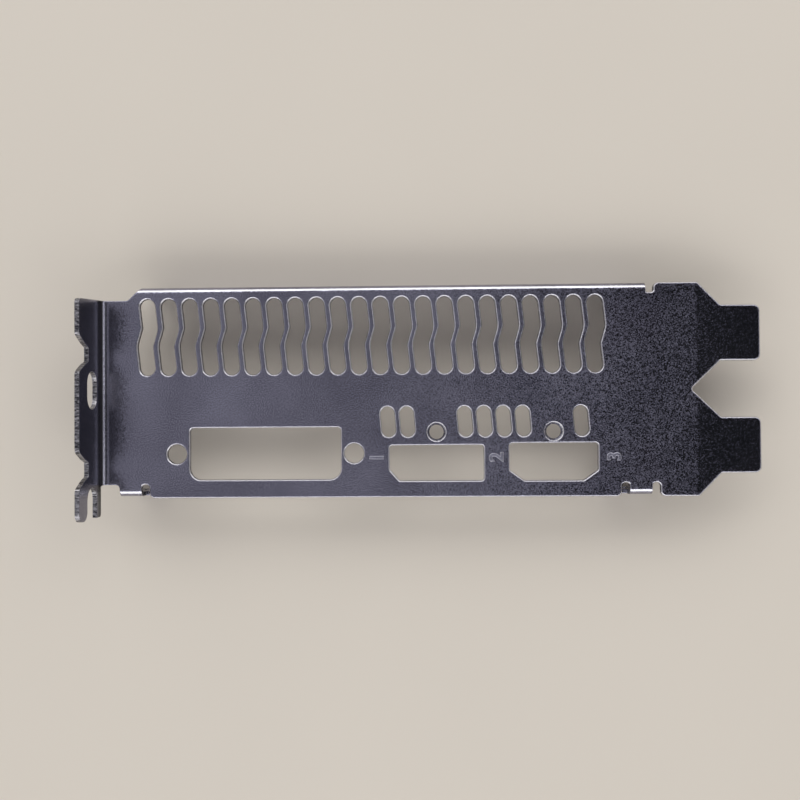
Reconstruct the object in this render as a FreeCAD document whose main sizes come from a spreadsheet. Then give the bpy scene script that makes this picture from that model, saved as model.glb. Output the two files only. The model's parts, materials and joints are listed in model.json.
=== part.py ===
"""Double-slot expansion-card bracket, stamped and folded from one steel sheet.

The bracket lies with its outer face up.  +X runs from the screw tab to the tongues, +Y to the edge
with the stiffening flange, +Z out of the outer face.  The origin is under the middle of its box, on
the surface that the flange and the two ears stand on.  Sketches are drawn from the tab's inner face
(X), the middle of the plate (Y) and the outer face (Z), and the body is then moved to that origin.
"""
import FreeCAD, Part
import math
import os
import re

import Sketcher

# Driving sizes in millimetres.  Places along X start at the tab's inner face, and those that end in
# foot at the tongues' ends.
SIZES = {
    # The sheet and the plate
    "sheet_thickness": 0.8,
    "slot_pitch": 20.32,
    "slot_width": 18.42,
    "plate_reach": 120.02,
    "edge_roll": 0.22,
    # Screw tab, folded up at the head of the plate
    "tab_height": 11.43,
    "tab_bend": 1.4,
    "tab_inset": 2.46,
    "tab_lean": 0.75,
    "tab_corner": 0.9,
    "guide_offset": 3.48,
    "guide_floor": 2.5,
    "guide_throat": 3.7,
    "guide_mouth": 6.5,
    "guide_depth": 4.3,
    "guide_lead": 2.6,
    "guide_round": 0.4,
    "guide_mouth_round": 1.0,
    "screw_offset": 9.78,
    "screw_rise": 4.65,
    "screw_slot_width": 4.5,
    "screw_slot_length": 6.8,
    "screw_slot_back": 0.75,
    "prong_reach": 3.18,
    "prong_foot": 0.45,
    "prong_round": 1.6,
    "prong_foot_round": 0.6,
    # Tongues, set slightly down at the foot of the plate
    "tongue_width": 10.19,
    "tongue_length": 7.27,
    "tongue_round": 1.2,
    "tongue_kick": 11.6,
    "tongue_drop": 0.6,
    "kick_bend": 2.0,
    "root_round": 0.5,
    "crotch_depth": 5.35,
    # Flange and ears, folded down
    "fold_bend": 0.5,
    "fold_depth": 9.0,
    "flange_start": 7.27,
    "flange_foot": 20.69,
    "flange_relief": 1.4,
    "flange_relief_past": 0.45,
    "relief_flare": 1.0,
    "corner_round": 1.2,
    "ear_start": 3.3,
    "ear_foot": 19.77,
    "ear_neck": 4.0,
    "ear_inset": 0.37,
    "ear_relief": 1.45,
    "ear_relief_past": 0.83,
    "ear_head_width": 8.6,
    "ear_head_depth": 6.2,
    "ear_round": 1.0,
    "ear_hole": 3.2,
    # Grille of wavy slots over the upper slot
    "wave_start": 8.45,
    "wave_foot": 29.82,
    "wave_count": 22,
    "wave_width": 2.75,
    "wave_length": 14.0,
    "wave_margin": 0.91,
    "wave_swing": 0.42,
    "wave_rise": 1.75,
    "wave_bend": 2.2,
    # Row of small vents over the lower slot
    "vent_start": 52.58,
    "vent_pitch": 3.5,
    "vent_width": 2.5,
    "vent_length": 5.45,
    "vent_lean": 0.26,
    "vent_rise": 4.55,
    # Connector openings and their screws, from the middle of the lower slot
    "wide_port_place": 30.12,
    "wide_port_width": 27.6,
    "wide_port_height": 9.4,
    "wide_port_drop": 1.13,
    "wide_port_round": 0.6,
    "wide_port_foot_round": 2.05,
    "jack_spacing": 32.5,
    "jack_hole": 3.5,
    "notched_port_place": 61.38,
    "notched_port_width": 17.05,
    "notched_port_height": 6.35,
    "notched_port_drop": 2.97,
    "notched_port_cut": 1.75,
    "notched_port_cut_height": 2.0,
    "tapered_port_place": 82.6,
    "tapered_port_width": 15.9,
    "tapered_port_height": 6.7,
    "tapered_port_drop": 2.84,
    "tapered_port_cut": 2.6,
    "tapered_port_cut_height": 1.85,
    "port_round": 0.5,
    "lock_rise": 2.66,
    "lock_hole": 2.6,
    "lock_sink": 3.6,
}

# Places of the vent row that hold a vent; the other four make room for the two lock screws
VENT_PLACES = (0, 1, 4, 5, 6, 7, 10)
COUNTERSINK_ANGLE = 90.0
EASE_ANGLE = 45.0
# How much of the room in a relief its corner rounds take
RELIEF_SHARE = 0.9

# Formulas that several sketches share
HALF_WIDTH = "((slot_pitch + slot_width) / 2)"
TAB_EDGE = "(tab_height - sheet_thickness)"
FOLD_OUTER = "(fold_bend + sheet_thickness)"
EAR_FACE = f"({HALF_WIDTH} - ear_inset)"
PRONG_END = f"({HALF_WIDTH} + prong_reach)"
SLOT_AXIS = "(slot_pitch / 2)"
FOLD_LINE = f"({HALF_WIDTH} - {FOLD_OUTER})"
EAR_LINE = f"({EAR_FACE} - {FOLD_OUTER})"
EAR_RELIEF = f"({EAR_LINE} - ear_relief_past)"
TAB_END = f"({HALF_WIDTH} - tab_inset)"
FLANGE_END = "(plate_reach - flange_foot)"
EAR_END = "(plate_reach - ear_foot)"
TONGUE_ROOT = "(plate_reach - tongue_length)"
TONGUE_FAR = "((slot_pitch + tongue_width) / 2)"
TONGUE_NEAR = "((slot_pitch - tongue_width) / 2)"
SHOULDER = f"({TONGUE_ROOT} - {HALF_WIDTH} + {TONGUE_FAR})"
# Where the trimming cuts of the plate's sides meet the cut round the tongues
SEAM = f"(({EAR_END} + ear_relief + relief_flare + {SHOULDER}) / 2)"
# How far a cut runs on past the sheet
SPARE = "3"
OUTSIDE = f"(sheet_thickness + {SPARE})"
BEYOND = f"({PRONG_END} + {SPARE})"

doc = FreeCAD.newDocument("bracket")
sheet = doc.addObject("Spreadsheet::Sheet", "sizes")
for row, (alias, number) in enumerate(SIZES.items(), start=1):
    sheet.set(f"A{row}", alias)
    sheet.set(f"B{row}", str(number))
    sheet.setAlias(f"B{row}", alias)
doc.recompute()


def value(words):
    """The number that a formula of sheet names gives now."""
    return float(sheet.evalExpression(words))


def formula(words):
    """A formula of sheet names in the form that other objects of the document read."""
    return re.sub(r"\b[a-z][a-z_]*\b(?!\()", lambda name: "sizes." + name.group(), words)


def bind(thing, setting, words):
    """Tie one setting of an object to a formula of sheet names."""
    thing.setExpression(setting, formula(words))


def origin_plane(body, role):
    """One of the body's own origin planes."""
    return next(plane for plane in body.Origin.OriginFeatures if plane.Role == role)


def new_sketch(body, name, role, offset="0"):
    """A sketch on an origin plane of the body, moved along the plane's normal."""
    sketch = body.newObject("Sketcher::SketchObject", name)
    sketch.AttachmentSupport = [(origin_plane(body, role), "")]
    sketch.MapMode = "FlatFace"
    if offset != "0":
        bind(sketch, "AttachmentOffset.Base.z", offset)
    return sketch


def hold(sketch, kind, place, words):
    """A dimension of a sketch, tied to a formula of sheet names."""
    index = sketch.addConstraint(Sketcher.Constraint(kind, *place, value(words)))
    bind(sketch, f"Constraints[{index}]", words)


def hold_point(sketch, geometry, end, across, up):
    """Both coordinates of one point of a sketch."""
    hold(sketch, "DistanceX", (geometry, end), across)
    hold(sketch, "DistanceY", (geometry, end), up)


def flat(across, up):
    """A point of a sketch plane."""
    return FreeCAD.Vector(across, up, 0)


def arc_between(centre, start, end, turn):
    """An arc about a centre and which of its ends comes first; turn is positive counterclockwise."""
    angles = [math.atan2(point.y - centre.y, point.x - centre.x) for point in (start, end)]
    circle = Part.Circle(centre, FreeCAD.Vector(0, 0, 1), (start - centre).Length)
    if turn > 0:
        return Part.ArcOfCircle(circle, angles[0], angles[1]), (1, 2)
    return Part.ArcOfCircle(circle, angles[1], angles[0]), (2, 1)


def outline(sketch, corners):
    """A closed outline through corners of (across, up, radius), all formulas; radius "0" is sharp."""
    points = [flat(value(across), value(up)) for across, up, radius in corners]
    radii = [value(radius) for across, up, radius in corners]
    count = len(corners)
    entries, leaves, bends = [], [], []
    for index, point in enumerate(points):
        back = (points[index - 1] - point).normalize()
        ahead = (points[(index + 1) % count] - point).normalize()
        reach = 0.0
        if radii[index]:
            reach = radii[index] / math.tan(back.getAngle(ahead) / 2)
        entries.append(point + back * reach)
        leaves.append(point + ahead * reach)
        side = FreeCAD.Vector(0, 0, 1).cross(back * -1)
        turn = 1 if side.dot(ahead) > 0 else -1
        bends.append((entries[index] + side * turn * radii[index], turn))
    lines = []
    for index in range(count):
        far = (index + 1) % count
        lines.append(sketch.addGeometry(Part.LineSegment(leaves[index], entries[far]), False))
    for index, (across, up, radius) in enumerate(corners):
        before, after = lines[index - 1], lines[index]
        if not radii[index]:
            sketch.addConstraint(Sketcher.Constraint("Coincident", before, 2, after, 1))
            hold_point(sketch, after, 1, across, up)
            continue
        centre, turn = bends[index]
        curve, ends = arc_between(centre, entries[index], leaves[index], turn)
        arc = sketch.addGeometry(curve, False)
        corner = sketch.addGeometry(Part.Point(points[index]), True)
        hold_point(sketch, corner, 1, across, up)
        sketch.addConstraint([
            Sketcher.Constraint("PointOnObject", corner, 1, before),
            Sketcher.Constraint("PointOnObject", corner, 1, after),
            Sketcher.Constraint("Tangent", before, 2, arc, ends[0]),
            Sketcher.Constraint("Tangent", arc, ends[1], after, 1),
        ])
        hold(sketch, "Radius", (arc,), radius)


def round_slot(sketch, first, last, width):
    """A slot with round ends about two centres of (across, up), all formulas."""
    centres = [flat(value(across), value(up)) for across, up in (first, last)]
    run = (centres[1] - centres[0]).normalize()
    side = FreeCAD.Vector(0, 0, 1).cross(run) * (value(width) / 2)
    sides = []
    for start, end, sign in ((centres[0], centres[1], -1), (centres[1], centres[0], 1)):
        edge = Part.LineSegment(start + side * sign, end + side * sign)
        sides.append(sketch.addGeometry(edge, False))
    for index, (centre, place) in enumerate(((centres[1], last), (centres[0], first))):
        sign = -1 if index == 0 else 1
        curve, ends = arc_between(centre, centre + side * sign, centre - side * sign, 1)
        arc = sketch.addGeometry(curve, False)
        sketch.addConstraint([
            Sketcher.Constraint("Tangent", sides[index], 2, arc, ends[0]),
            Sketcher.Constraint("Tangent", arc, ends[1], sides[index - 1], 1),
        ])
        hold_point(sketch, arc, 3, *place)
        hold(sketch, "Radius", (arc,), f"({width}) / 2")


def touch_point(start, centre, radius, side):
    """Where a line from start touches a circle, on the left (1) or right (-1) of the way to it."""
    way = centre - start
    reach = math.sqrt(way.Length ** 2 - radius ** 2)
    swing = FreeCAD.Rotation(FreeCAD.Vector(0, 0, 1), math.degrees(side * math.atan2(radius, reach)))
    return start + swing.multVec(way).normalize() * reach


def wave_slot(sketch, across, up):
    """One slot whose middle line runs straight, swings round two bends and runs straight again."""
    half, bend = value("wave_width / 2"), value("wave_bend")
    middle = flat(value(across), value(up))
    end = middle + flat(0, value("(wave_length - wave_width) / 2"))
    hub = middle + flat(value("wave_swing - wave_bend"), value("wave_rise"))
    touches = (touch_point(end, hub, bend, 1), touch_point(middle, hub, bend, -1))

    def mirrored(point):
        return middle * 2 - point

    # The middle line's straight runs, from the top end to the bottom end
    runs = (
        (end, touches[0]),
        (touches[1], mirrored(touches[1])),
        (mirrored(touches[0]), mirrored(end)),
    )
    sides = {}
    for place, (start, stop) in enumerate(runs):
        normal = FreeCAD.Vector(0, 0, 1).cross((stop - start).normalize()) * half
        for sign in (1, -1):
            edge = Part.LineSegment(start + normal * sign, stop + normal * sign)
            sides[place, sign] = sketch.addGeometry(edge, False)

    def join(before, before_end, after, after_end, centre, turn):
        """An arc that runs on from one side line to the next."""
        start = sketch.getPoint(before, before_end)
        stop = sketch.getPoint(after, after_end)
        curve, ends = arc_between(centre, start, stop, turn)
        arc = sketch.addGeometry(curve, False)
        sketch.addConstraint([
            Sketcher.Constraint("Tangent", before, before_end, arc, ends[0]),
            Sketcher.Constraint("Tangent", arc, ends[1], after, after_end),
        ])
        return arc

    hubs = ((hub, -1, "+"), (mirrored(hub), 1, "-"))
    for place, (centre, turn, mark) in enumerate(hubs):
        for sign in (1, -1):
            arc = join(sides[place, sign], 2, sides[place + 1, sign], 1, centre, turn)
            outer = "+" if sign * turn < 0 else "-"
            hold_point(sketch, arc, 3, f"{across} {mark} (wave_swing - wave_bend)", f"{up} {mark} wave_rise")
            hold(sketch, "Radius", (arc,), f"wave_bend {outer} wave_width / 2")
    tops = ((end, 0, 1, 1, "+"), (mirrored(end), 2, 2, -1, "-"))
    for centre, place, tip, first, mark in tops:
        arc = join(sides[place, first], tip, sides[place, -first], tip, centre, 1)
        hold_point(sketch, arc, 3, across, f"{up} {mark} (wave_length - wave_width) / 2")
        hold(sketch, "Radius", (arc,), "wave_width / 2")


def circle(sketch, across, up, diameter):
    """A round hole."""
    ring = Part.Circle(flat(value(across), value(up)), FreeCAD.Vector(0, 0, 1), value(diameter) / 2)
    index = sketch.addGeometry(ring, False)
    hold_point(sketch, index, 3, across, up)
    hold(sketch, "Radius", (index,), f"{diameter} / 2")


def rectangle(sketch, low, high):
    """A rectangle between two corners of (across, up)."""
    outline(sketch, (
        (low[0], low[1], "0"),
        (high[0], low[1], "0"),
        (high[0], high[1], "0"),
        (low[0], high[1], "0"),
    ))


def finish(body, feature, more):
    """Recompute a feature and make sure that it added (more) or took away material."""
    before = body.Shape.Volume if body.Shape and not body.Shape.isNull() else 0.0
    doc.recompute()
    if (body.Shape.Volume > before) != more or body.Shape.Volume == before:
        raise RuntimeError(f"{feature.Name} did not change the sheet as it should")
    return feature


def pad(body, sketch, length, reverse=False, both_ways=False):
    """Sheet metal added along a sketch's normal."""
    feature = body.newObject("PartDesign::Pad", sketch.Name + "_pad")
    feature.Profile = sketch
    feature.Reversed = reverse
    feature.SideType = "Symmetric" if both_ways else "One side"
    bind(feature, "Length", length)
    return finish(body, feature, True)


def pocket(body, sketch, both_ways=False, depth=None):
    """A cut against a sketch's normal or both ways, right through or to a depth."""
    feature = body.newObject("PartDesign::Pocket", sketch.Name + "_cut")
    feature.Profile = sketch
    feature.SideType = "Symmetric" if both_ways else "One side"
    if depth:
        feature.Type = "Length"
        bind(feature, "Length", depth)
    else:
        feature.Type = "ThroughAll"
    return finish(body, feature, False)


def folded_strip(body):
    """Tab, plate and tongues in side view, as wide as the prongs reach."""
    slope = "(tongue_drop / tongue_kick)"
    stretch = f"sqrt(1 + {slope} * {slope})"
    kick = "plate_reach - tongue_kick"
    sketch = new_sketch(body, "side_view", "XZ_Plane")
    outline(sketch, (
        ("-sheet_thickness", TAB_EDGE, "0"),
        ("-sheet_thickness", "-sheet_thickness", "tab_bend + sheet_thickness"),
        (f"{kick} - sheet_thickness * ({stretch} - 1) / {slope}", "-sheet_thickness", "kick_bend"),
        ("plate_reach", f"-tongue_drop - sheet_thickness * {stretch}", "0"),
        ("plate_reach", "-tongue_drop", "0"),
        (kick, "0", "kick_bend + sheet_thickness"),
        ("0", "0", "tab_bend"),
        ("0", TAB_EDGE, "0"),
    ))
    pad(body, sketch, f"2 * {PRONG_END}", both_ways=True)


def relief_round(width, past):
    """Corner round of a relief, from its width and its depth past the fold line."""
    return f"{RELIEF_SHARE} * min({width} / 2; {past})"


def upper_trim(body):
    """The plate's edge on the flange's side: tab end, cut corner, fold line and relief."""
    floor = f"{FOLD_LINE} - flange_relief_past"
    corner = relief_round("flange_relief", "flange_relief_past")
    sketch = new_sketch(body, "upper_edge", "XY_Plane")
    outline(sketch, (
        (f"-{OUTSIDE}", TAB_END, "0"),
        ("flange_start - tab_inset", TAB_END, "corner_round"),
        (f"flange_start - {FOLD_OUTER}", FOLD_LINE, "0"),
        (FLANGE_END, FOLD_LINE, "0"),
        (FLANGE_END, floor, corner),
        (f"{FLANGE_END} + flange_relief", floor, corner),
        (f"{FLANGE_END} + flange_relief", HALF_WIDTH, "relief_flare"),
        (SEAM, HALF_WIDTH, "0"),
        (SEAM, BEYOND, "0"),
        (f"-{OUTSIDE}", BEYOND, "0"),
    ))
    pocket(body, sketch, both_ways=True)


def tongue_trim(body):
    """The sloping shoulders, the two tongues and the crotch between them."""
    upper = (
        (SHOULDER, HALF_WIDTH, "root_round"),
        (TONGUE_ROOT, TONGUE_FAR, "root_round"),
        ("plate_reach", TONGUE_FAR, "tongue_round"),
        ("plate_reach", TONGUE_NEAR, "tongue_round"),
        (TONGUE_ROOT, TONGUE_NEAR, "root_round"),
    )
    lower = [(across, "-" + up, radius) for across, up, radius in reversed(upper)]
    sketch = new_sketch(body, "tongue_edge", "XY_Plane")
    outline(sketch, (
        (SEAM, HALF_WIDTH, "0"),
        *upper,
        (f"{TONGUE_ROOT} - crotch_depth", "0", "root_round"),
        *lower,
        (SEAM, f"-{HALF_WIDTH}", "0"),
        (SEAM, f"-{BEYOND}", "0"),
        (f"plate_reach + {SPARE}", f"-{BEYOND}", "0"),
        (f"plate_reach + {SPARE}", BEYOND, "0"),
        (SEAM, BEYOND, "0"),
    ))
    pocket(body, sketch, both_ways=True)


def relief(neck, side):
    """A round-topped relief from an ear's neck to the plate's edge, left (-) or right (+) of the neck."""
    far = f"{neck} {side} ear_relief"
    corner = relief_round("ear_relief", "ear_relief_past")
    return (
        (neck, f"-{EAR_LINE}", "0"),
        (neck, f"-{EAR_RELIEF}", corner),
        (far, f"-{EAR_RELIEF}", corner),
        (far, f"-{HALF_WIDTH}", "relief_flare"),
    )


def lower_trim(body):
    """The plate's edge on the ears' side: reliefs, the ears' fold lines and the gap beside the prongs."""
    sketch = new_sketch(body, "lower_edge", "XY_Plane")
    outline(sketch, (
        (SEAM, f"-{HALF_WIDTH}", "0"),
        *reversed(relief(EAR_END, "+")),
        *relief(f"{EAR_END} - ear_neck", "-"),
        *reversed(relief("ear_start + ear_neck", "+")),
        ("ear_start", f"-{EAR_LINE}", "0"),
        ("ear_start", f"-{EAR_RELIEF}", relief_round("ear_start", "ear_relief_past")),
        ("0", f"-{EAR_RELIEF}", "tab_bend / 3"),
        ("0", f"-{BEYOND}", "0"),
        (SEAM, f"-{BEYOND}", "0"),
    ))
    pocket(body, sketch, both_ways=True)


def edge_through(shape, across, along, up):
    """Name of the edge of a shape that passes through a point, given as formulas."""
    point = Part.Vertex(value(across), value(along), value(up))
    gaps = [edge.distToShape(point)[0] for edge in shape.Edges]
    return f"Edge{gaps.index(min(gaps)) + 1}"


def dressed(body, kind, name, edges, setting, size):
    """A fillet or chamfer on edges of the last feature, and on the edges that run smoothly on from them."""
    base = body.Tip
    feature = body.newObject("PartDesign::" + kind, name)
    feature.Base = (base, edges)
    bind(feature, setting, size)
    return finish(body, feature, False)


def eased_rim(body):
    """The small chamfer that stands for the die's roll, round the plate's free edges."""
    shape = body.Tip.Shape
    edges = [
        edge_through(shape, SEAM, HALF_WIDTH, "0"),
        edge_through(shape, f"(ear_start + {EAR_END}) / 2", f"-{HALF_WIDTH}", "0"),
    ]
    dressed(body, "Chamfer", "eased_rim", edges, "Size", "edge_roll")


def opening(body, sketch):
    """An opening right through the plate from a sketch just under its outer face, and its eased mouth."""
    cut = pocket(body, sketch, both_ways=True)
    mouth = body.newObject("PartDesign::Pocket", sketch.Name + "_mouth")
    mouth.Profile = sketch
    mouth.Reversed = True
    mouth.Type = "Length"
    mouth.TaperAngle = EASE_ANGLE
    bind(mouth, "Length", "edge_roll")
    finish(body, mouth, False)
    return [cut, mouth]


def fold(body, name, face, inward, start, end):
    """A strip folded down from the plate's edge, from start to end along X."""
    deep = "-fold_depth"
    inner = f"{face} {inward} sheet_thickness"
    plate = f"{face} {inward} ({FOLD_OUTER} + sheet_thickness)"
    sketch = new_sketch(body, name, "YZ_Plane", start)
    outline(sketch, (
        (plate, "0", "0"),
        (face, "0", FOLD_OUTER),
        (face, deep, "0"),
        (inner, deep, "0"),
        (inner, "-sheet_thickness", "fold_bend"),
        (plate, "-sheet_thickness", "0"),
    ))
    pad(body, sketch, f"({end}) - ({start})")


def flange(body):
    """Stiffening flange, whose end follows the plate's cut corner and then runs square."""
    start = f"flange_start - {FOLD_OUTER}"
    fold(body, "flange_profile", HALF_WIDTH, "-", start, FLANGE_END)
    corner = new_sketch(body, "corner_cut", "XY_Plane")
    outline(corner, (
        (start, FOLD_LINE, "0"),
        (f"flange_start + {SPARE}", f"{HALF_WIDTH} + {SPARE}", "0"),
        (start, f"{HALF_WIDTH} + {SPARE}", "0"),
    ))
    pocket(body, corner, both_ways=True)
    square = new_sketch(body, "flange_square", "XZ_Plane")
    below = f"-fold_depth - {SPARE}"
    rectangle(square, (f"{start} - {SPARE}", below), ("flange_start", f"-{FOLD_OUTER}"))
    pocket(body, square)


def ear(body, name, left, head_left, hole):
    """A board ear: a narrow neck folded down, and a wider head with a screw hole."""
    fold(body, name + "_neck", f"-{EAR_FACE}", "+", left, f"{left} + ear_neck")
    sketch = new_sketch(body, name + "_head", "XZ_Plane", EAR_FACE)
    head_top = "-fold_depth + ear_head_depth"
    outline(sketch, (
        (head_left, "-fold_depth", "ear_round"),
        (f"{head_left} + ear_head_width", "-fold_depth", "ear_round"),
        (f"{head_left} + ear_head_width", head_top, "0"),
        (head_left, head_top, "0"),
    ))
    pad(body, sketch, "sheet_thickness", reverse=True)
    drilled = new_sketch(body, name + "_hole", "XZ_Plane", EAR_FACE)
    circle(drilled, hole, "-fold_depth + ear_head_depth / 2", "ear_hole")
    pocket(body, drilled, depth="sheet_thickness")


def tab_edge(body):
    """The tab seen along the plate: its leaning end, guide notches and prongs."""
    deep = f"-{OUTSIDE}"
    notches = []
    for axis in (SLOT_AXIS, f"-{SLOT_AXIS}"):
        middle = f"{axis} - guide_offset"
        half = [
            ("guide_mouth / 2", TAB_EDGE, "guide_mouth_round"),
            ("guide_throat / 2", f"{TAB_EDGE} - guide_lead", "0"),
            ("guide_floor / 2", f"{TAB_EDGE} - guide_depth", "guide_round"),
        ]
        notches += [(f"{middle} + {reach}", up, radius) for reach, up, radius in half]
        notches += [(f"{middle} - {reach}", up, radius) for reach, up, radius in reversed(half)]
    sketch = new_sketch(body, "tab_outline", "YZ_Plane", "tab_bend")
    rectangle(sketch, (f"-{BEYOND}", f"{deep} - {SPARE}"), (BEYOND, f"{TAB_EDGE} + {SPARE}"))
    outline(sketch, (
        (TAB_END, deep, "0"),
        (TAB_END, "tab_bend", "0"),
        (f"{TAB_END} - tab_lean", TAB_EDGE, "tab_corner"),
        *notches,
        (f"-{PRONG_END}", TAB_EDGE, "prong_round"),
        (f"-{PRONG_END}", "prong_foot", "prong_foot_round"),
        (f"-{EAR_RELIEF}", "prong_foot", "0"),
        (f"-{EAR_RELIEF}", deep, "0"),
    ))
    pocket(body, sketch)


def tab_screws(body):
    """The closed screw slot and the open one between the prongs."""
    reach = "(screw_slot_length - screw_slot_width) / 2"
    upper = f"{SLOT_AXIS} - screw_offset"
    lower = f"-{SLOT_AXIS} - screw_offset"
    sketch = new_sketch(body, "screw_slots", "YZ_Plane")
    round_slot(sketch, (f"{upper} - {reach}", "screw_rise"), (f"{upper} + {reach}", "screw_rise"),
               "screw_slot_width")
    round_slot(sketch, (f"-{BEYOND}", "screw_rise"), (f"{lower} + screw_slot_back", "screw_rise"),
               "screw_slot_width")
    pocket(body, sketch)
    middle = "-sheet_thickness / 2"
    tip = edge_through(body.Tip.Shape, middle, f"-{PRONG_END}", "screw_rise + screw_slot_width / 2")
    dressed(body, "Fillet", "prong_tip", [tip], "Radius", "prong_round")


def grille(body):
    """The wavy slots: one cut, hung a margin below the fold line, and its pattern along the plate."""
    sketch = new_sketch(body, "wave_slot", "XY_Plane", "-edge_roll")
    wave_slot(sketch, "wave_start", f"{FOLD_LINE} - wave_margin - wave_length / 2")
    originals = opening(body, sketch)
    pattern = body.newObject("PartDesign::LinearPattern", "grille")
    pattern.Originals = originals
    pattern.Direction = (sketch, ["H_Axis"])
    bind(pattern, "Length", "plate_reach - wave_foot - wave_start")
    bind(pattern, "Occurrences", "wave_count")
    body.Tip = pattern
    finish(body, pattern, False)


def vents(body):
    """The row of small leaning vents, open where no lock screw stands."""
    sketch = new_sketch(body, "vent_row", "XY_Plane", "-edge_roll")
    reach = "(vent_length - vent_width) / 2"
    middle = f"-{SLOT_AXIS} + vent_rise"
    for place in VENT_PLACES:
        across = f"vent_start + vent_pitch * {place}"
        round_slot(sketch, (f"{across} + vent_lean / 2", f"{middle} - {reach}"),
                   (f"{across} - vent_lean / 2", f"{middle} + {reach}"), "vent_width")
    opening(body, sketch)


def port_corners(port):
    """Left, right, lower and upper sides of a connector opening."""
    middle = f"-{SLOT_AXIS} - {port}_drop"
    return (
        f"{port}_place - {port}_width / 2",
        f"{port}_place + {port}_width / 2",
        f"{middle} - {port}_height / 2",
        f"{middle} + {port}_height / 2",
    )


def ports(body):
    """The three connector openings."""
    sketch = new_sketch(body, "ports", "XY_Plane", "-edge_roll")
    left, right, low, high = port_corners("wide_port")
    outline(sketch, (
        (left, low, "wide_port_foot_round"),
        (right, low, "wide_port_foot_round"),
        (right, high, "wide_port_round"),
        (left, high, "wide_port_round"),
    ))
    left, right, low, high = port_corners("notched_port")
    outline(sketch, (
        (left, f"{low} + notched_port_cut_height", "port_round"),
        (f"{left} + notched_port_cut", low, "port_round"),
        (right, low, "port_round"),
        (right, high, "port_round"),
        (left, high, "port_round"),
    ))
    left, right, low, high = port_corners("tapered_port")
    outline(sketch, (
        (left, f"{low} + tapered_port_cut_height", "port_round"),
        (f"{left} + tapered_port_cut", low, "port_round"),
        (f"{right} - tapered_port_cut", low, "port_round"),
        (right, f"{low} + tapered_port_cut_height", "port_round"),
        (right, high, "port_round"),
        (left, high, "port_round"),
    ))
    opening(body, sketch)


def jack_holes(body):
    """Screw holes at both ends of the wide opening."""
    sketch = new_sketch(body, "jack_holes", "XY_Plane", "-edge_roll")
    middle = f"-{SLOT_AXIS} - wide_port_drop"
    for side in "-+":
        circle(sketch, f"wide_port_place {side} jack_spacing / 2", middle, "jack_hole")
    opening(body, sketch)


def lock_holes(body):
    """Countersunk lock-screw holes over the two smaller openings."""
    sketch = new_sketch(body, "lock_places", "XY_Plane")
    for port in ("notched_port", "tapered_port"):
        circle(sketch, f"{port}_place", f"-{SLOT_AXIS} + lock_rise", "lock_hole")
    doc.recompute()
    hole = body.newObject("PartDesign::Hole", "lock_holes")
    hole.Profile = sketch
    hole.ThreadType = "None"
    hole.DepthType = "ThroughAll"
    bind(hole, "Diameter", "lock_hole")
    hole.HoleCutType = "Countersink"
    hole.HoleCutCustomValues = True
    hole.HoleCutCountersinkAngle = COUNTERSINK_ANGLE
    bind(hole, "HoleCutDiameter", "lock_sink")
    finish(body, hole, False)


def bracket():
    """The whole bracket, standing over its origin."""
    body = doc.addObject("PartDesign::Body", "bracket")
    body.Label = "bracket"
    folded_strip(body)
    upper_trim(body)
    tongue_trim(body)
    lower_trim(body)
    eased_rim(body)
    flange(body)
    span = "ear_head_width / 2"
    ear(body, "first_ear", "ear_start", "ear_start", f"ear_start + {span}")
    ear(body, "last_ear", f"{EAR_END} - ear_neck", f"{EAR_END} - ear_head_width", f"{EAR_END} - {span}")
    tab_edge(body)
    tab_screws(body)
    vents(body)
    ports(body)
    jack_holes(body)
    grille(body)
    lock_holes(body)
    bind(body, "Placement.Base.x", "(sheet_thickness - plate_reach) / 2")
    bind(body, "Placement.Base.y", "prong_reach / 2")
    bind(body, "Placement.Base.z", "fold_depth")
    doc.recompute()
    return body


parts = [bracket()]
failed = [thing.Name for thing in doc.Objects if "Invalid" in thing.State or "Error" in thing.State]
if failed:
    raise RuntimeError("failed objects: " + ", ".join(failed))
for part in parts:
    if part.Shape.isNull() or not part.Shape.isValid() or len(part.Shape.Solids) != 1:
        raise RuntimeError(part.Label + " is not one valid solid")
os.makedirs("parts", exist_ok=True)
for part in parts:
    part.Shape.exportStep(f"parts/{part.Label}.step")
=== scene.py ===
"""Looks of a double-slot expansion-card bracket: satin plated sheet steel on a pale studio floor.

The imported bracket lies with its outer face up, +X to the tongues and +Y to the flange.  One operator
plates it, one stamps the port numerals and one sets the floor, the light and the camera.
"""

import json
import math

import bmesh
import bpy
from mathutils import Matrix, Vector


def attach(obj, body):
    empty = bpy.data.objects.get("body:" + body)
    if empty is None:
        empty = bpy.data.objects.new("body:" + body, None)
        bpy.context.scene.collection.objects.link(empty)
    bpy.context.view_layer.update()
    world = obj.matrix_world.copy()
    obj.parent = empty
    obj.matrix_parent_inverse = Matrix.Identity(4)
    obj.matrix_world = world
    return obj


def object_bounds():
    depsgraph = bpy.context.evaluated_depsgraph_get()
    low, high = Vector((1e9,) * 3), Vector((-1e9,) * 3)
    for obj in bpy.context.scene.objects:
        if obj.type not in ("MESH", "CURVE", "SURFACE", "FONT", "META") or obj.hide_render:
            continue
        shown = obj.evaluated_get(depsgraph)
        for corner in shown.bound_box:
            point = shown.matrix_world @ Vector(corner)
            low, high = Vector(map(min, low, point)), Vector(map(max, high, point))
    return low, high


bl_info = {
    "name": "Expansion Card Bracket",
    "version": (1, 0, 0),
    "blender": (4, 5, 0),
    "location": "View3D > Sidebar > Bracket",
    "description": "Plating, port numerals and studio of a folded expansion-card bracket",
    "category": "Object",
}

MM = 0.001

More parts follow.
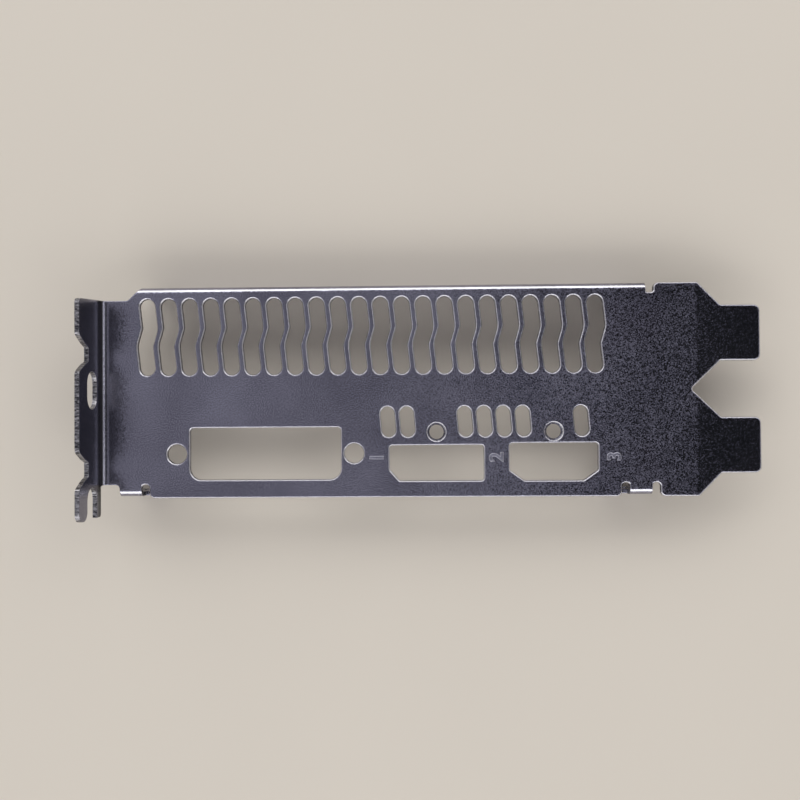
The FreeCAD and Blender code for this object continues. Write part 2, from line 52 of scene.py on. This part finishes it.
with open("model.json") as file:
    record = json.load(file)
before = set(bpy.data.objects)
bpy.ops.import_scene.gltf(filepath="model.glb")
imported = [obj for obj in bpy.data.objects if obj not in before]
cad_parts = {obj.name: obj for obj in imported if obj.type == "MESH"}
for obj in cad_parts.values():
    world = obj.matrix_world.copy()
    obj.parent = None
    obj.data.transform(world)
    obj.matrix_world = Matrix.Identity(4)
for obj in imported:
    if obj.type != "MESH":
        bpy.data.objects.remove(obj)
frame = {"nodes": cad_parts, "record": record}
CAD_BOX = [list(corner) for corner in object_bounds()]
LOW, HIGH = (Vector(corner) for corner in CAD_BOX)

# The folded sheet: its outer face over the floor, its thickness, the tab's inner face, the slope at the
# tongues, and the radius of the tab's bend
OUTER_FACE = LOW.z + 9.0 * MM
SHEET = 0.8 * MM
TAB_FACE = LOW.x + SHEET
TONGUE_KICK = HIGH.x - 11.6 * MM
TONGUE_DROP = 0.6 * MM
TAB_BEND = 1.4 * MM
# Where the plate starts beside the tab, and how far down the die's roll reaches from the outer face
PLATE_START = TAB_FACE + 3 * SHEET
ROLL_FLOOR = -0.3 * SHEET
# Margin by which a mask clears the face that it starts from
HAIR = 0.02 * MM
# A face's normal along an axis: over LEVEL it lies flat, under UPRIGHT it stands on edge, and over
# SIDEWAYS or ENDWISE it faces across or along the plate
LEVEL = 0.95
UPRIGHT = 0.3
SIDEWAYS = 0.5
ENDWISE = 0.7

# Width of the plating's slow clouds, and their share in its mottle
CLOUD = 14.0 * MM
CLOUD_SHARE = 0.35
# What the press leaves beside the tab's bend: times the roughness, and the share of the grain's lean
GRIP_ROUGHNESS = 1.7
GRIP_LEAN = 0.3
# Roughness of cut edges and stamped strokes, and the relief of the cut edges' streaks and how far they
# are drawn out, as a share of their pattern's scale
CUT_ROUGHNESS = 0.35
STREAK_RELIEF = 0.1 * MM
STREAK_DRAW = 0.4

# Studio light: the glow of the ends and of the sides, low and high, the overhead at the tab and at the
# tongues, the share of it that is left far over the tongues, and its tint
END_GLOW = (0.4, 1.5)
SIDE_GLOW = (0.5, 2.6)
OVERHEAD_GLOW = (0.37, 0.27)
OVERHEAD_FADE = 0.06
OVERHEAD_TINT = "F4F3FF"
# How much lower the overhead starts over the ends than over the sides
OVERHEAD_REACH = 0.11
# Width of the floor's faint mottle, its darker tone's share of the floor's colour, and its roughness
FLOOR_MOTTLE = 60.0 * MM
FLOOR_SHADE = 0.95
FLOOR_ROUGHNESS = 0.75
# Half the floor's width
FLOOR_HALF = 3.0

# Each numeral, the opening that it stands beside, which side of that opening, and how far off
NUMERALS = (
    ("1", "notched_port", 0, -4.1 * MM),
    ("2", "tapered_port", 0, -2.7 * MM),
    ("3", "tapered_port", 1, 3.3 * MM),
)
# Height of a numeral as a share of the letters' size
CAPITAL_SHARE = 0.7


def linear(code):
    """Linear colour of an sRGB hex code."""
    parts = [int(code[place:place + 2], 16) / 255 for place in (0, 2, 4)]
    return tuple(part / 12.92 if part <= 0.04045 else ((part + 0.055) / 1.055) ** 2.4 for part in parts)


def add(tree, kind, links=None, **settings):
    """Add one node: settings fill its fields, links fill its inputs with values or other nodes' outputs."""
    node = tree.nodes.new(kind)
    for field, setting in settings.items():
        setattr(node, field, setting)
    for socket, source in (links or {}).items():
        if isinstance(source, bpy.types.NodeSocket):
            tree.links.new(source, node.inputs[socket])
        else:
            node.inputs[socket].default_value = source
    return node


class PlatingSettings(bpy.types.PropertyGroup):
    """Finish of the plated sheet."""

    light_tone: bpy.props.FloatVectorProperty(
        name="Light tone", description="Paler tone of the satin plating",
        subtype="COLOR", size=3, min=0, max=1, default=linear("ADACBB"))
    dark_tone: bpy.props.FloatVectorProperty(
        name="Dark tone", description="Darker tone of the satin plating",
        subtype="COLOR", size=3, min=0, max=1, default=linear("777684"))
    # Painted highlight: a paler colour on the rolled edges and the numerals' slopes
    edge_highlight_tone: bpy.props.FloatVectorProperty(
        name="Edge tone", description="Burnished plating on the rolled edges",
        subtype="COLOR", size=3, min=0, max=1, default=linear("CBC9CF"))
    cut_light: bpy.props.FloatVectorProperty(
        name="Cut light", description="Bright streaks on the cut edges",
        subtype="COLOR", size=3, min=0, max=1, default=linear("B0AEB2"))
    # Partly the dull bare steel of the cut edges, partly painted shade that darkens the cut walls and the
    # tab's crease
    cut_steel_and_shade: bpy.props.FloatVectorProperty(
        name="Cut dark", description="Dull broken steel between the streaks",
        subtype="COLOR", size=3, min=0, max=1, default=linear("403F43"))
    roughness: bpy.props.FloatProperty(
        name="Roughness", description="Mean roughness of the satin face",
        subtype="FACTOR", min=0, max=1, default=0.15)
    grain: bpy.props.FloatProperty(
        name="Grain", description="Width of the plating's grain",
        unit="LENGTH", min=0.00005, default=0.18 * MM)
    lean: bpy.props.FloatProperty(
        name="Lean", description="How far the grain's facets lean, as a slope from side to side",
        subtype="FACTOR", min=0, max=1, default=0.2)
    streak: bpy.props.FloatProperty(
        name="Streak", description="Width of the shear streaks on the cut edges",
        unit="LENGTH", min=0.00005, default=0.35 * MM)
    edge_roll: bpy.props.FloatProperty(
        name="Edge roll", description="How far the die's roll softens an edge",
        unit="LENGTH", min=0.00001, default=0.3 * MM)


class NumeralSettings(bpy.types.PropertyGroup):
    """Stamped port numerals."""

    height: bpy.props.FloatProperty(
        name="Height", description="Height of a numeral",
        unit="LENGTH", min=0.001, default=2.4 * MM)
    relief: bpy.props.FloatProperty(
        name="Relief", description="How far a numeral stands over the outer face",
        unit="LENGTH", min=0.00001, default=0.14 * MM)
    row: bpy.props.FloatProperty(
        name="Row", description="Place of the numerals' middles across the plate",
        unit="LENGTH", default=-10.5 * MM)


class StageSettings(bpy.types.PropertyGroup):
    """Floor, light and camera."""

    floor_tone: bpy.props.FloatVectorProperty(
        name="Floor", description="Colour of the floor",
        subtype="COLOR", size=3, min=0, max=1, default=linear("D2CABE"))
    distance: bpy.props.FloatProperty(
        name="Camera distance", description="From the outer face to the camera",
        unit="LENGTH", min=0.05, default=160.3 * MM)
    target: bpy.props.FloatVectorProperty(
        name="Camera target", description="Where the camera's axis meets the outer face",
        subtype="TRANSLATION", size=2, default=(-4.82 * MM, -0.06 * MM))
    lean: bpy.props.FloatVectorProperty(
        name="Camera lean", description="How far the camera leans about the bracket's long and cross axes",
        subtype="EULER", size=2, default=(math.radians(0.89), math.radians(1.59)))
    roll: bpy.props.FloatProperty(
        name="Camera roll", description="Turn of the picture",
        subtype="ANGLE", default=math.radians(-0.4))
    view_angle: bpy.props.FloatProperty(
        name="View angle", description="Angle of view across the square picture",
        subtype="ANGLE", default=2 * math.atan(400 / 881.4))


def plated_steel(settings):
    """Nickel-plated cold-rolled sheet, blanked and folded.

    The satin plating mirrors softly what is over it, the die's roll and a painted highlight draw a bright
    line round each opening, and the cut edges are dull, partly bare steel and partly painted shade, with
    bright streaks across the sheet.
    """
    material = bpy.data.materials.new("nickel_plated_steel")
    material.use_nodes = True
    tree = material.node_tree
    tree.nodes.clear()
    place = add(tree, "ShaderNodeTexCoord")
    spot = add(tree, "ShaderNodeSeparateXYZ", {0: place.outputs["Object"]})
    facing = add(tree, "ShaderNodeVectorMath", {0: place.outputs["Normal"]}, operation="ABSOLUTE")
    turned = add(tree, "ShaderNodeSeparateXYZ", {0: facing.outputs[0]})
    drop = add(tree, "ShaderNodeMapRange", {
        "Value": spot.outputs["X"], "From Min": TONGUE_KICK, "From Max": HIGH.x,
        "To Min": -OUTER_FACE, "To Max": TONGUE_DROP - OUTER_FACE})
    height = add(tree, "ShaderNodeMath", {0: spot.outputs["Z"], 1: drop.outputs[0]}, operation="ADD")

    # Satin face: the plating's grain, really finer and drawn coarser so that it shows, over slow clouds
    grain = add(tree, "ShaderNodeTexNoise", {
        "Vector": place.outputs["Object"], "Scale": 1 / settings.grain, "Detail": 1.0})
    facets = add(tree, "ShaderNodeTexVoronoi", {
        "Vector": place.outputs["Object"], "Scale": 1 / settings.grain})
    clouds = add(tree, "ShaderNodeTexNoise", {
        "Vector": place.outputs["Object"], "Scale": 1 / CLOUD, "Detail": 2.0})
    mottle = add(tree, "ShaderNodeMix", {
        0: CLOUD_SHARE, "A": grain.outputs["Fac"], "B": clouds.outputs["Fac"]})
    tone = add(tree, "ShaderNodeMapRange", {
        "Value": mottle.outputs[0], "From Min": 0.36, "From Max": 0.64})
    plating = add(tree, "ShaderNodeMix", {
        0: tone.outputs[0], 6: (*settings.dark_tone, 1), 7: (*settings.light_tone, 1)}, data_type="RGBA")

    # Rolled edges and stamped strokes: the small slopes beside the outer face, which get a paler colour as a
    # painted highlight
    beyond = add(tree, "ShaderNodeMath", {0: spot.outputs["X"], 1: PLATE_START}, operation="GREATER_THAN")
    high = add(tree, "ShaderNodeMath", {0: height.outputs[0], 1: ROLL_FLOOR}, operation="GREATER_THAN")
    upper = add(tree, "ShaderNodeMath", {0: high.outputs[0], 1: beyond.outputs[0]}, operation="MULTIPLY")
    slope = add(tree, "ShaderNodeMath", {0: turned.outputs["Z"], 1: LEVEL}, operation="LESS_THAN")
    over = add(tree, "ShaderNodeMath", {0: height.outputs[0], 1: HAIR}, operation="GREATER_THAN")
    rolled = add(tree, "ShaderNodeMath", {0: upper.outputs[0], 1: slope.outputs[0]}, operation="MULTIPLY")

    # Cut edges of the plate: upright faces within its thickness, apart from the outside of the tab's bend
    inside = add(tree, "ShaderNodeMath", {
        0: height.outputs[0], 1: -SHEET - HAIR}, operation="GREATER_THAN")
    low = add(tree, "ShaderNodeMath", {0: height.outputs[0], 1: HAIR}, operation="LESS_THAN")
    within = add(tree, "ShaderNodeMath", {0: inside.outputs[0], 1: low.outputs[0]}, operation="MULTIPLY")
    upright = add(tree, "ShaderNodeMath", {0: turned.outputs["Z"], 1: UPRIGHT}, operation="LESS_THAN")
    sideways = add(tree, "ShaderNodeMath", {0: turned.outputs["Y"], 1: SIDEWAYS}, operation="GREATER_THAN")
    unbent = add(tree, "ShaderNodeMath", {
        0: beyond.outputs[0], 1: sideways.outputs[0]}, operation="MAXIMUM")
    exposed = add(tree, "ShaderNodeMath", {
        0: upright.outputs[0], 1: unbent.outputs[0]}, operation="MULTIPLY")
    plate_cut = add(tree, "ShaderNodeMath", {
        0: within.outputs[0], 1: exposed.outputs[0]}, operation="MULTIPLY")

    # Cut edges of the flange and the ears: under the plate, facing along it
    under = add(tree, "ShaderNodeMath", {0: height.outputs[0], 1: -SHEET - HAIR}, operation="LESS_THAN")
    endwise = add(tree, "ShaderNodeMath", {0: turned.outputs["X"], 1: ENDWISE}, operation="GREATER_THAN")
    fold_cut = add(tree, "ShaderNodeMath", {
        0: under.outputs[0], 1: endwise.outputs[0]}, operation="MULTIPLY")

    # Cut edges of the tab: what faces up or down past its bend, and what faces sideways over the plate
    aloft = add(tree, "ShaderNodeMath", {
        0: height.outputs[0], 1: TAB_BEND + HAIR}, operation="GREATER_THAN")
    level = add(tree, "ShaderNodeMath", {0: turned.outputs["Z"], 1: UPRIGHT}, operation="GREATER_THAN")
    crest = add(tree, "ShaderNodeMath", {0: aloft.outputs[0], 1: level.outputs[0]}, operation="MULTIPLY")
    beside = add(tree, "ShaderNodeMath", {0: spot.outputs["X"], 1: PLATE_START}, operation="LESS_THAN")
    flank = add(tree, "ShaderNodeMath", {
        0: beside.outputs[0], 1: sideways.outputs[0]}, operation="MULTIPLY")
    rim = add(tree, "ShaderNodeMath", {0: crest.outputs[0], 1: flank.outputs[0]}, operation="MAXIMUM")
    tab_cut = add(tree, "ShaderNodeMath", {0: over.outputs[0], 1: rim.outputs[0]}, operation="MULTIPLY")

    # Shear streaks across the sheet: along X on the tab and along Z elsewhere
    flat_cut = add(tree, "ShaderNodeMath", {
        0: plate_cut.outputs[0], 1: fold_cut.outputs[0]}, operation="MAXIMUM")
    cut = add(tree, "ShaderNodeMath", {0: flat_cut.outputs[0], 1: tab_cut.outputs[0]}, operation="MAXIMUM")
    stretch = add(tree, "ShaderNodeMix", {
        0: tab_cut.outputs[0], 4: (1, 1, STREAK_DRAW), 5: (STREAK_DRAW, 1, 1)}, data_type="VECTOR")
    drawn = add(tree, "ShaderNodeVectorMath", {
        0: place.outputs["Object"], 1: stretch.outputs[1]}, operation="MULTIPLY")
    streaks = add(tree, "ShaderNodeTexNoise", {
        "Vector": drawn.outputs[0], "Scale": 1 / settings.streak, "Detail": 4.0, "Roughness": 0.6})
    broken = add(tree, "ShaderNodeMapRange", {
        "Value": streaks.outputs["Fac"], "From Min": 0.4, "From Max": 0.65})
    # The dark between the streaks is partly the cut's bare steel and partly painted shade on the cut walls
    sheared_and_shaded = add(tree, "ShaderNodeMix", {
        0: broken.outputs[0], 6: (*settings.cut_steel_and_shade, 1), 7: (*settings.cut_light, 1)}, data_type="RGBA")

    # Painted shade: a dark line in the crease of the tab's bend
    folded = add(tree, "ShaderNodeMath", {
        0: spot.outputs["X"], 1: TAB_FACE - HAIR}, operation="GREATER_THAN")
    outward = add(tree, "ShaderNodeMapRange", {
        "Value": spot.outputs["X"], "From Min": TAB_FACE + 0.2 * TAB_BEND,
        "From Max": TAB_FACE + 0.32 * TAB_BEND, "To Min": 1.0, "To Max": 0.0})
    upward = add(tree, "ShaderNodeMapRange", {
        "Value": height.outputs[0], "From Min": TAB_BEND, "From Max": 2 * TAB_BEND,
        "To Min": 1.0, "To Max": 0.0})
    tucked = add(tree, "ShaderNodeMath", {
        0: folded.outputs[0], 1: outward.outputs[0]}, operation="MULTIPLY")
    crease_shade = add(tree, "ShaderNodeMath", {
        0: tucked.outputs[0], 1: upward.outputs[0]}, operation="MULTIPLY")
    crease_shaded = add(tree, "ShaderNodeMix", {
        0: crease_shade.outputs[0], 6: plating.outputs[2], 7: (*settings.cut_steel_and_shade, 1)}, data_type="RGBA")

    # Painted highlight: the paler edge colour laid on the rolled edges and the stamped strokes
    rim_highlighted = add(tree, "ShaderNodeMix", {
        0: rolled.outputs[0], 6: crease_shaded.outputs[2], 7: (*settings.edge_highlight_tone, 1)}, data_type="RGBA")
    colour = add(tree, "ShaderNodeMix", {
        0: cut.outputs[0], 6: rim_highlighted.outputs[2], 7: sheared_and_shaded.outputs[2]}, data_type="RGBA")

    # The press grips the sheet at the tab's bend, which leaves it duller and smoother there
    gripped = add(tree, "ShaderNodeMapRange", {
        "Value": spot.outputs["X"], "From Min": TAB_FACE + TAB_BEND,
        "From Max": TAB_FACE + 6 * TAB_BEND, "To Min": 1.0, "To Max": 0.0})
    satin = add(tree, "ShaderNodeMix", {
        0: gripped.outputs[0], "A": settings.roughness, "B": GRIP_ROUGHNESS * settings.roughness})
    stamped = add(tree, "ShaderNodeMath", {0: over.outputs[0], 1: beyond.outputs[0]}, operation="MULTIPLY")
    dull = add(tree, "ShaderNodeMath", {0: stamped.outputs[0], 1: cut.outputs[0]}, operation="MAXIMUM")
    rough = add(tree, "ShaderNodeMix", {0: dull.outputs[0], "A": satin.outputs[0], "B": CUT_ROUGHNESS})

    # Each facet of the grain leans its own way, less where the die smoothed it, and streaks stand in relief
    roll = add(tree, "ShaderNodeBevel", {"Radius": settings.edge_roll}, samples=6)
    leaning = add(tree, "ShaderNodeVectorMath", {
        0: facets.outputs["Color"], 1: (0.5, 0.5, 0.5)}, operation="SUBTRACT")
    smoothed = add(tree, "ShaderNodeMath", {
        0: gripped.outputs[0], 1: rolled.outputs[0]}, operation="MAXIMUM")
    sway = add(tree, "ShaderNodeMix", {
        0: smoothed.outputs[0], "A": settings.lean, "B": GRIP_LEAN * settings.lean})
    tilted = add(tree, "ShaderNodeVectorMath", {
        0: leaning.outputs[0], 1: sway.outputs[0], 2: roll.outputs[0]}, operation="MULTIPLY_ADD")
    true = add(tree, "ShaderNodeNewGeometry")
    bent = add(tree, "ShaderNodeMix", {
        0: cut.outputs[0], 4: tilted.outputs[0], 5: true.outputs["Normal"]}, data_type="VECTOR")
    upwards = add(tree, "ShaderNodeVectorMath", {0: bent.outputs[1]}, operation="NORMALIZE")
    bump = add(tree, "ShaderNodeBump", {
        "Strength": cut.outputs[0], "Distance": STREAK_RELIEF, "Height": streaks.outputs["Fac"],
        "Normal": upwards.outputs[0]})
    shader = add(tree, "ShaderNodeBsdfPrincipled", {
        "Base Color": colour.outputs[2], "Roughness": rough.outputs[0], "Metallic": 1.0,
        "Normal": bump.outputs[0]})
    add(tree, "ShaderNodeOutputMaterial", {"Surface": shader.outputs[0]})
    return material


def pale_floor(tone):
    """Matt painted board: pale, with a faint mottle."""
    material = bpy.data.materials.new("pale_painted_board")
    material.use_nodes = True
    tree = material.node_tree
    tree.nodes.clear()
    place = add(tree, "ShaderNodeTexCoord")
    mottle = add(tree, "ShaderNodeTexNoise", {
        "Vector": place.outputs["Object"], "Scale": 1 / FLOOR_MOTTLE, "Detail": 3.0})
    shade = add(tree, "ShaderNodeMix", {
        0: mottle.outputs["Fac"], 6: (*tone, 1),
        7: (*(FLOOR_SHADE * part for part in tone), 1)}, data_type="RGBA")
    shader = add(tree, "ShaderNodeBsdfPrincipled", {
        "Base Color": shade.outputs[2], "Roughness": FLOOR_ROUGHNESS})
    add(tree, "ShaderNodeOutputMaterial", {"Surface": shader.outputs[0]})
    return material


class BRACKET_OT_plating(bpy.types.Operator):
    """Give the folded sheet its satin plating."""

    bl_idname = "bracket.plating"
    bl_label = "Plate the Bracket"

    def execute(self, context):
        node = frame["nodes"]["bracket"]
        node.data.materials.clear()
        node.data.materials.append(plated_steel(context.scene.bracket_plating))
        return {"FINISHED"}


class BRACKET_OT_numerals(bpy.types.Operator):
    """Stamp a plain numeral beside each connector opening, read from the tongues' end."""

    bl_idname = "bracket.numerals"
    bl_label = "Stamp the Numerals"

    def execute(self, context):
        settings = context.scene.bracket_numerals
        plating = frame["nodes"]["bracket"].data.materials[0]
        physics = frame["record"]["physics"]
        openings = {opening["name"]: opening["box_m"] for opening in physics["openings"]}
        for numeral, port, side, gap in NUMERALS:
            letters = bpy.data.curves.new("numeral", "FONT")
            letters.body = numeral
            letters.size = settings.height / CAPITAL_SHARE
            letters.align_x = "CENTER"
            letters.align_y = "CENTER"
            letters.offset = settings.relief / 3
            letters.extrude = settings.relief / 2
            letters.bevel_depth = settings.relief / 2
            pattern = bpy.data.objects.new("numeral_" + numeral, letters)
            context.scene.collection.objects.link(pattern)
            context.view_layer.update()
            solid = pattern.evaluated_get(context.evaluated_depsgraph_get())
            mesh = bpy.data.meshes.new_from_object(solid)
            bpy.data.objects.remove(pattern)
            spot = Vector((openings[port][side][0] + gap, settings.row, OUTER_FACE))
            mesh.transform(Matrix.Translation(spot) @ Matrix.Rotation(math.radians(90), 4, "Z"))
            mesh.materials.clear()
            mesh.materials.append(plating)
            piece = bpy.data.objects.new("numeral_" + numeral, mesh)
            context.scene.collection.objects.link(piece)
            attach(piece, "root")
        return {"FINISHED"}


class BRACKET_OT_stage(bpy.types.Operator):
    """Set the floor, the light and the camera."""

    bl_idname = "bracket.stage"
    bl_label = "Set the Stage"

    def execute(self, context):
        settings = context.scene.bracket_stage
        self.lay_floor(context, settings)
        self.light(context)
        self.aim_camera(context, settings)
        context.scene.view_settings.view_transform = "Standard"
        return {"FINISHED"}

    def lay_floor(self, context, settings):
        """A wide floor under the flange and the ears."""
        mesh = bpy.data.meshes.new("floor")
        shape = bmesh.new()
        bmesh.ops.create_grid(shape, x_segments=1, y_segments=1, size=FLOOR_HALF)
        bmesh.ops.translate(shape, verts=shape.verts, vec=(0, 0, LOW.z))
        shape.to_mesh(mesh)
        shape.free()
        mesh.materials.append(pale_floor(settings.floor_tone))
        floor = bpy.data.objects.new("floor", mesh)
        context.scene.collection.objects.link(floor)

    def light(self, context):
        """Soft light along the sides and high over the ends, and a dim overhead, darker over the tongues."""
        world = bpy.data.worlds.new("studio")
        context.scene.world = world
        world.use_nodes = True
        tree = world.node_tree
        tree.nodes.clear()
        place = add(tree, "ShaderNodeTexCoord")
        way = add(tree, "ShaderNodeSeparateXYZ", {0: place.outputs["Generated"]})
        flat = add(tree, "ShaderNodeVectorMath", {
            0: place.outputs["Generated"], 1: (1, 1, 0)}, operation="MULTIPLY")
        unit = add(tree, "ShaderNodeVectorMath", {0: flat.outputs[0]}, operation="NORMALIZE")
        bearing = add(tree, "ShaderNodeSeparateXYZ", {0: unit.outputs[0]})

        ends = add(tree, "ShaderNodeMapRange", {
            "Value": way.outputs["Z"], "From Min": 0.42, "From Max": 0.52,
            "To Min": END_GLOW[0], "To Max": END_GLOW[1]}, interpolation_type="SMOOTHSTEP")
        side_rise = add(tree, "ShaderNodeMapRange", {
            "Value": way.outputs["Z"], "From Min": 0.1, "From Max": 0.55,
            "To Min": SIDE_GLOW[0], "To Max": SIDE_GLOW[1]}, interpolation_type="SMOOTHSTEP")
        aside = add(tree, "ShaderNodeMath", {0: bearing.outputs["Y"]}, operation="ABSOLUTE")
        sideways = add(tree, "ShaderNodeMapRange", {
            "Value": aside.outputs[0], "From Min": 0.35, "From Max": 0.7}, interpolation_type="SMOOTHSTEP")
        around = add(tree, "ShaderNodeMix", {
            0: sideways.outputs[0], "A": ends.outputs[0], "B": side_rise.outputs[0]})

        ceiling = add(tree, "ShaderNodeMapRange", {
            "Value": way.outputs["X"], "From Min": -0.2, "From Max": 0.3,
            "To Min": OVERHEAD_GLOW[0], "To Max": OVERHEAD_GLOW[1]})
        shade = add(tree, "ShaderNodeMapRange", {
            "Value": way.outputs["X"], "From Min": 0.09, "From Max": 0.34,
            "To Min": 1.0, "To Max": OVERHEAD_FADE})
        overhead = add(tree, "ShaderNodeMath", {
            0: ceiling.outputs[0], 1: shade.outputs[0]}, operation="MULTIPLY")
        reach = add(tree, "ShaderNodeMapRange", {
            "Value": aside.outputs[0], "From Min": 0.0, "From Max": 1.0,
            "To Min": OVERHEAD_REACH, "To Max": 0.0})
        lift = add(tree, "ShaderNodeMath", {0: way.outputs["Z"], 1: reach.outputs[0]}, operation="ADD")
        top = add(tree, "ShaderNodeMapRange", {
            "Value": lift.outputs[0], "From Min": 0.7, "From Max": 0.8}, interpolation_type="SMOOTHSTEP")
        level = add(tree, "ShaderNodeMix", {
            0: top.outputs[0], "A": around.outputs[0], "B": overhead.outputs[0]})
        tint = add(tree, "ShaderNodeMix", {
            0: top.outputs[0], 6: (1, 1, 1, 1), 7: (*linear(OVERHEAD_TINT), 1)}, data_type="RGBA")
        glow = add(tree, "ShaderNodeBackground", {"Color": tint.outputs[2], "Strength": level.outputs[0]})
        add(tree, "ShaderNodeOutputWorld", {"Surface": glow.outputs[0]})

    def aim_camera(self, context, settings):
        """A camera straight over the outer face."""
        camera = bpy.data.objects.new("camera", bpy.data.cameras.new("camera"))
        camera.data.sensor_fit = "HORIZONTAL"
        camera.data.angle = settings.view_angle
        camera.data.clip_start = 0.01
        turn = (Matrix.Rotation(settings.lean[1], 4, "Y") @ Matrix.Rotation(settings.lean[0], 4, "X")
                @ Matrix.Rotation(settings.roll, 4, "Z"))
        target = Vector((*settings.target, OUTER_FACE))
        back = turn.to_3x3() @ Vector((0, 0, settings.distance))
        camera.matrix_world = Matrix.Translation(target + back) @ turn
        context.scene.collection.objects.link(camera)
        context.scene.camera = camera


class BRACKET_PT_looks(bpy.types.Panel):
    """Lists the bracket's operators and settings."""

    bl_idname = "BRACKET_PT_looks"
    bl_label = "Bracket"
    bl_space_type = "VIEW_3D"
    bl_region_type = "UI"
    bl_category = "Bracket"

    def draw(self, context):
        for operator, group in STEPS:
            self.layout.operator(operator.bl_idname)
            for name in group.__annotations__:
                self.layout.prop(getattr(context.scene, GROUPS[group]), name)


GROUPS = {
    PlatingSettings: "bracket_plating",
    NumeralSettings: "bracket_numerals",
    StageSettings: "bracket_stage",
}
STEPS = (
    (BRACKET_OT_plating, PlatingSettings),
    (BRACKET_OT_numerals, NumeralSettings),
    (BRACKET_OT_stage, StageSettings),
)


def register():
    for group, name in GROUPS.items():
        bpy.utils.register_class(group)
        setattr(bpy.types.Scene, name, bpy.props.PointerProperty(type=group))
    for operator, group in STEPS:
        bpy.utils.register_class(operator)
    bpy.utils.register_class(BRACKET_PT_looks)


def unregister():
    bpy.utils.unregister_class(BRACKET_PT_looks)
    for operator, group in reversed(STEPS):
        bpy.utils.unregister_class(operator)
    for group, name in GROUPS.items():
        delattr(bpy.types.Scene, name)
        bpy.utils.unregister_class(group)


def main():
    register()
    bpy.ops.bracket.plating()
    bpy.ops.bracket.numerals()
    bpy.ops.bracket.stage()


if __name__ == "__main__":
    main()
